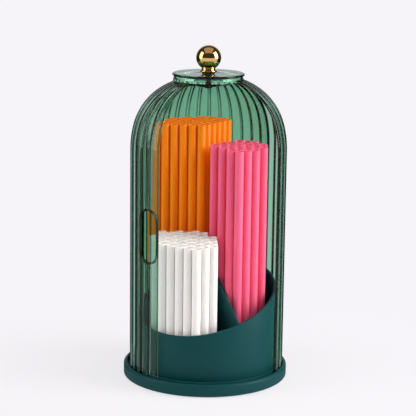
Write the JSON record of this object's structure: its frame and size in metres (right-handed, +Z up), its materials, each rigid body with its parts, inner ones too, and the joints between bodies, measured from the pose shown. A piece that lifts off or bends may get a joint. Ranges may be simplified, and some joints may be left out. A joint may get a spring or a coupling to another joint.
{
  "type": "domed straw dispenser",
  "caption": "Round fluted dome on a turntable tray, with a sliding curved door and a slanted three-part cup that holds and serves drinking straws.",
  "frame": {"origin": "on the table, under the middle of the tray", "axes": "+Z up along the turntable's axis; the front, where the cup is lowest, faces -Y"},
  "size_m": [0.15, 0.15, 0.3033],
  "materials": {
    "green_shell": "clear tinted, polished, fluted",
    "teal_plastic": "fine satin",
    "gold_plate": "mirror polished",
    "steel": "plain zinc plated",
    "bearing_steel": "polished",
    "white_nylon": "natural",
    "black_plastic": "satin",
    "rubber_pad": "matt",
    "orange_straw": "satin",
    "pink_straw": "satin",
    "white_straw": "satin"
  },
  "bodies": {
    "foot": {"foot_disc": "black_plastic", "foot_pads": "rubber_pad", "pivot_bush": "white_nylon"},
    "bearing": {"ball_cage": "white_nylon", "bearing_balls": "bearing_steel"},
    "organiser": {"base_tray": "teal_plastic", "pivot_washer": "steel", "pivot_screw": "steel", "cup": "teal_plastic", "divider": "teal_plastic", "rear_shell": "green_shell", "top_disc": "green_shell", "hub_bush": "black_plastic", "slip_washers": "black_plastic", "knob": "gold_plate", "knob_gasket": "black_plastic", "screw_washer": "steel", "knob_screw": "steel", "white_straws": "white_straw", "pink_straws": "pink_straw", "orange_straws": "orange_straw"},
    "door": {"door_shell": "green_shell"}
  },
  "joints": [
    {"name": "turntable_spin", "type": "hinge", "parent": "foot", "child": "organiser", "pos_m": [0, 0, 0.0042], "axis": [0, 0, 1], "continuous": true},
    {"name": "bearing_spin", "type": "hinge", "parent": "foot", "child": "bearing", "pos_m": [0, 0, 0.0042], "axis": [0, 0, 1], "continuous": true},
    {"name": "door_slide_round", "type": "hinge", "parent": "organiser", "child": "door", "pos_m": [0, 0, 0.2696], "axis": [0, 0, 1], "range_deg": [-74.5, 105.5]}
  ],
  "couplings": [
    {"joint": "bearing_spin", "follows": "turntable_spin", "ratio": 0.5}
  ]
}
